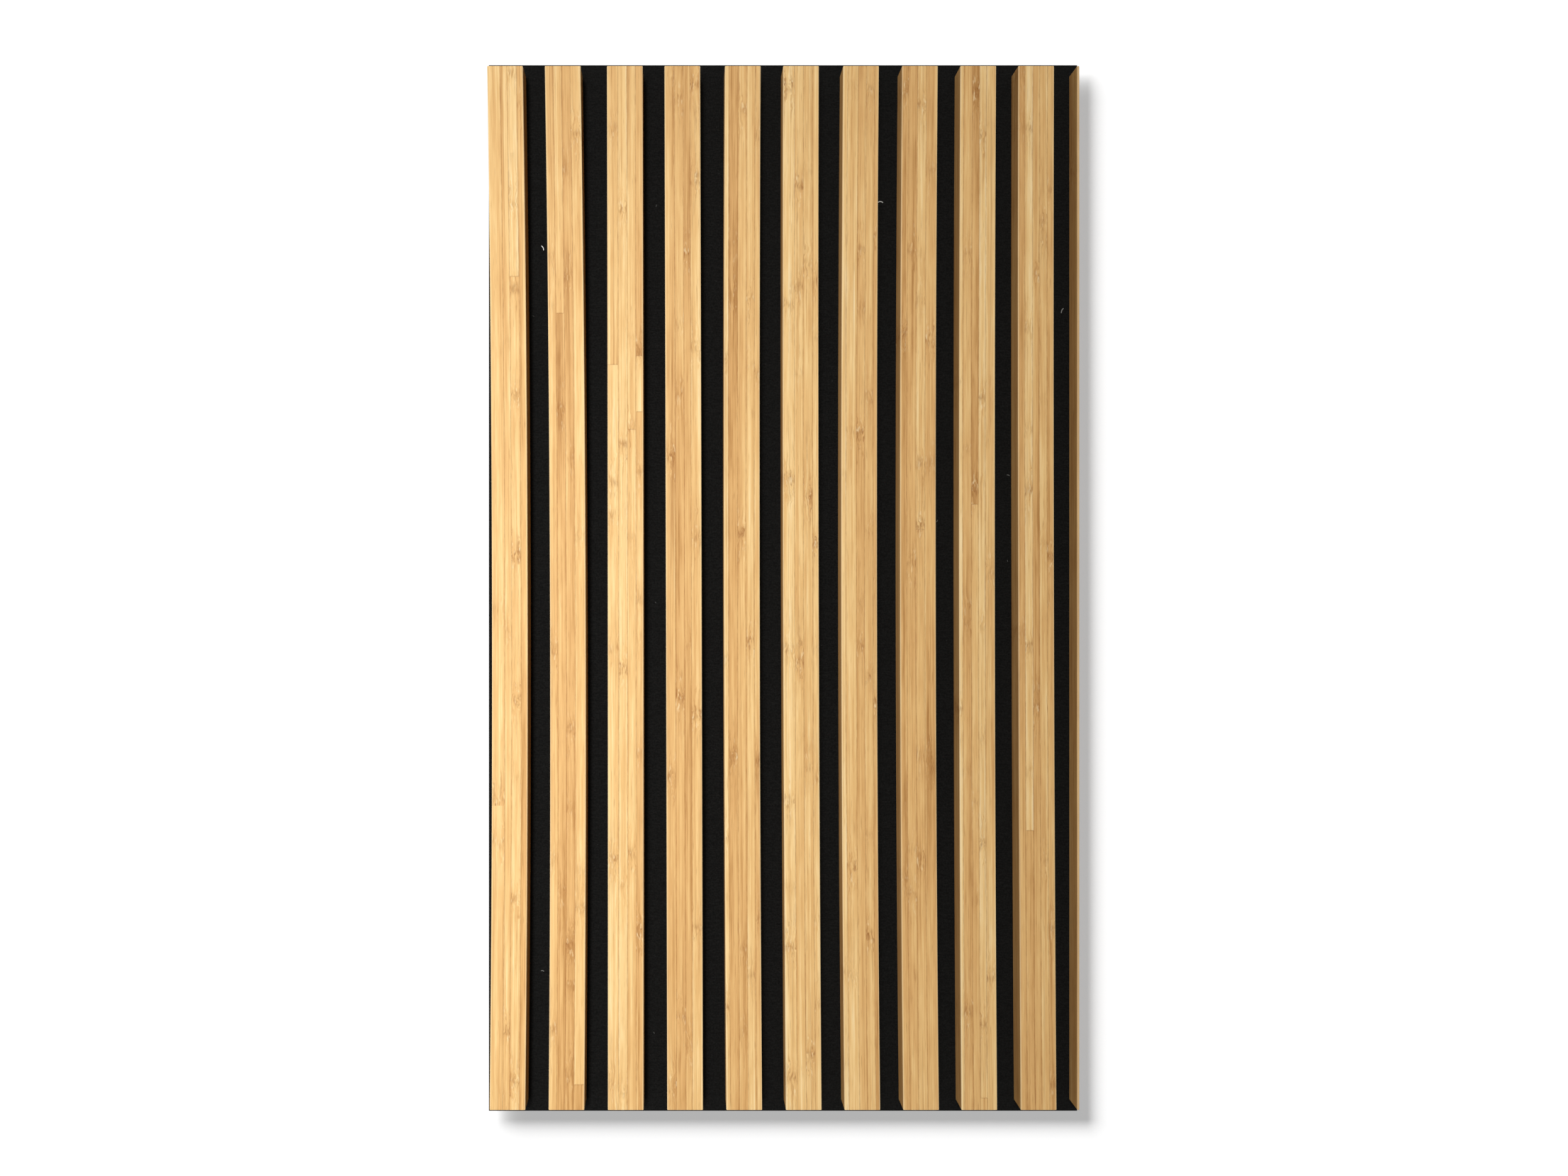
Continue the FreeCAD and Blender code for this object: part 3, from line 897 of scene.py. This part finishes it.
# %% The lights
world = bpy.data.worlds.new("Studio")
bpy.context.scene.world = world
world.use_nodes = True
tree = world.node_tree
tree.nodes.clear()
ray = tree.nodes.new("ShaderNodeLightPath").outputs
shown = calculate(tree, "MAXIMUM", ray["Is Camera Ray"], calculate(
    tree, "MAXIMUM", ray["Is Glossy Ray"], ray["Is Transmission Ray"]))
sky = add_node(tree, "ShaderNodeBackground", {"Color": (1.0, 1.0, 1.0, 1.0), "Strength": shown})
add_node(tree, "ShaderNodeOutputWorld", {"Surface": sky.outputs[0]})


def add_lamp(name, kind, place, target, **settings):
    """A lamp at a place, turned towards a target."""
    lamp = bpy.data.lights.new(name, kind)
    for key, value in settings.items():
        setattr(lamp, key, value)
    holder = bpy.data.objects.new(name, lamp)
    bpy.context.collection.objects.link(holder)
    from_place = np.subtract(target, place)
    yaw = math.atan2(-from_place[0], from_place[1])
    pitch = math.atan2(from_place[2], math.hypot(from_place[0], from_place[1]))
    holder.location = place
    holder.rotation_euler = (math.pi / 2 + pitch, 0, yaw)
    return holder


def add_sun(name, side, energy, degrees):
    """A sun that shines from a side, as soft as the degrees of sky that it fills."""
    return add_lamp(name, "SUN", side, (0, 0, 0), energy=energy, angle=math.radians(degrees))


key = add_sun("key_sun", (-0.18, -1, 0.47), energy=2.12, degrees=13)
left = add_lamp(
    "left_lamp", "AREA", (-0.36, -0.90, -0.08), (-0.19, 0, -0.045),
    energy=0.79, color=(0.92, 0.94, 1.0),
    shape="RECTANGLE", size=0.25, size_y=0.85, spread=math.radians(50),
)
rear = add_sun("rear_sun", (0.7, 1, 0.7), energy=2.2, degrees=20)
front_fill = add_sun("front_fill", (-1, -1, 0), energy=0.44, degrees=170)
rear_fill = add_sun("rear_fill", (0, 1, 0), energy=0.41, degrees=170)
wall_sun = add_sun("wall_sun", (-0.7, -1, 0.7), energy=2.75, degrees=50)
print("main light:", key.name, "with an energy of", round(key.data.energy, 2))

# %% [markdown]
# From so near, the panel hides the shadow that its own key light throws. So the wall has
# a sun of its own, which the other lamps leave to it, and a card as large as the panel
# looks, which no ray but that sun's can find, gives it a clean edge to throw.
# Light linking says which lamp falls on what, and what stands in its way.

# %% The shadow card
CARD_DEPTH = 10.5 * MM
CARD_LEFT, CARD_RIGHT = -203.2 * MM, 215.0 * MM
CARD_FOOT, CARD_HEAD = -374.4 * MM, 365.8 * MM
card_mesh = bpy.data.meshes.new("shadow_card")
card_mesh.from_pydata(
    [(x, -CARD_DEPTH, z) for z in (CARD_FOOT, CARD_HEAD) for x in (CARD_LEFT, CARD_RIGHT)],
    [], [(0, 1, 3, 2)],
)
card = bpy.data.objects.new("shadow_card", card_mesh)
bpy.context.collection.objects.link(card)
for kind in ("camera", "diffuse", "glossy", "transmission", "volume_scatter"):
    setattr(card, "visible_" + kind, False)
card_size = (CARD_RIGHT - CARD_LEFT, CARD_HEAD - CARD_FOOT)
print("card:", [round(side / MM, 1) for side in card_size], "mm")


# %% Link the lamps
def linked(name, thing, state):
    """A collection that lets a lamp's light, or its shadow, reach one thing, or all but it."""
    group = bpy.data.collections.new(name)
    group.objects.link(thing)
    group.collection_objects[0].light_linking.link_state = state
    return group


not_the_wall = linked("not_the_wall", wall, "EXCLUDE")
not_the_card = linked("not_the_card", card, "EXCLUDE")
panel_lamps = (key, left, rear, front_fill, rear_fill)
for lamp in panel_lamps:
    lamp.light_linking.receiver_collection = not_the_wall
    lamp.light_linking.blocker_collection = not_the_card
wall_sun.light_linking.receiver_collection = linked("only_the_wall", wall, "INCLUDE")
wall_sun.light_linking.blocker_collection = linked("only_the_card", card, "INCLUDE")
print("lamps on the panel:", [lamp.name for lamp in panel_lamps])

# %% The camera
# In pixels of the photograph: its width, the column that the camera faces squarely, and
# the column of the trimmed slat's left edge.
PHOTO_WIDTH = 2212
VIEW_AXIS = 960
TRIMMED_EDGE = 1519.9
MM_PER_PIXEL = 0.48235
DISTANCE_TO_SLATS = 549 * MM
slat_fronts = slat_sizes["slat_05"]["Back"] - slat_sizes["slat_05"]["Depth"]
camera = bpy.data.cameras.new("camera")
camera.sensor_width = 36
camera.lens = camera.sensor_width * DISTANCE_TO_SLATS / (PHOTO_WIDTH * MM_PER_PIXEL * MM)
camera.shift_x = 0.5 - VIEW_AXIS / PHOTO_WIDTH
camera.clip_start = 0.01
viewer = bpy.data.objects.new("camera", camera)
bpy.context.collection.objects.link(viewer)
trimmed_edge = slat_sizes[TRIMMED]["Waist"] - slat_sizes[TRIMMED]["Width"] / 2
view_axis = trimmed_edge - (TRIMMED_EDGE - VIEW_AXIS) * MM_PER_PIXEL * MM
viewer.location = (view_axis, slat_fronts - DISTANCE_TO_SLATS, 0)
viewer.rotation_euler = (math.pi / 2, 0, 0)
bpy.context.scene.camera = viewer
bpy.context.scene.view_settings.view_transform = "Standard"
print("lens", round(camera.lens, 2), "mm, shift", round(camera.shift_x, 3))
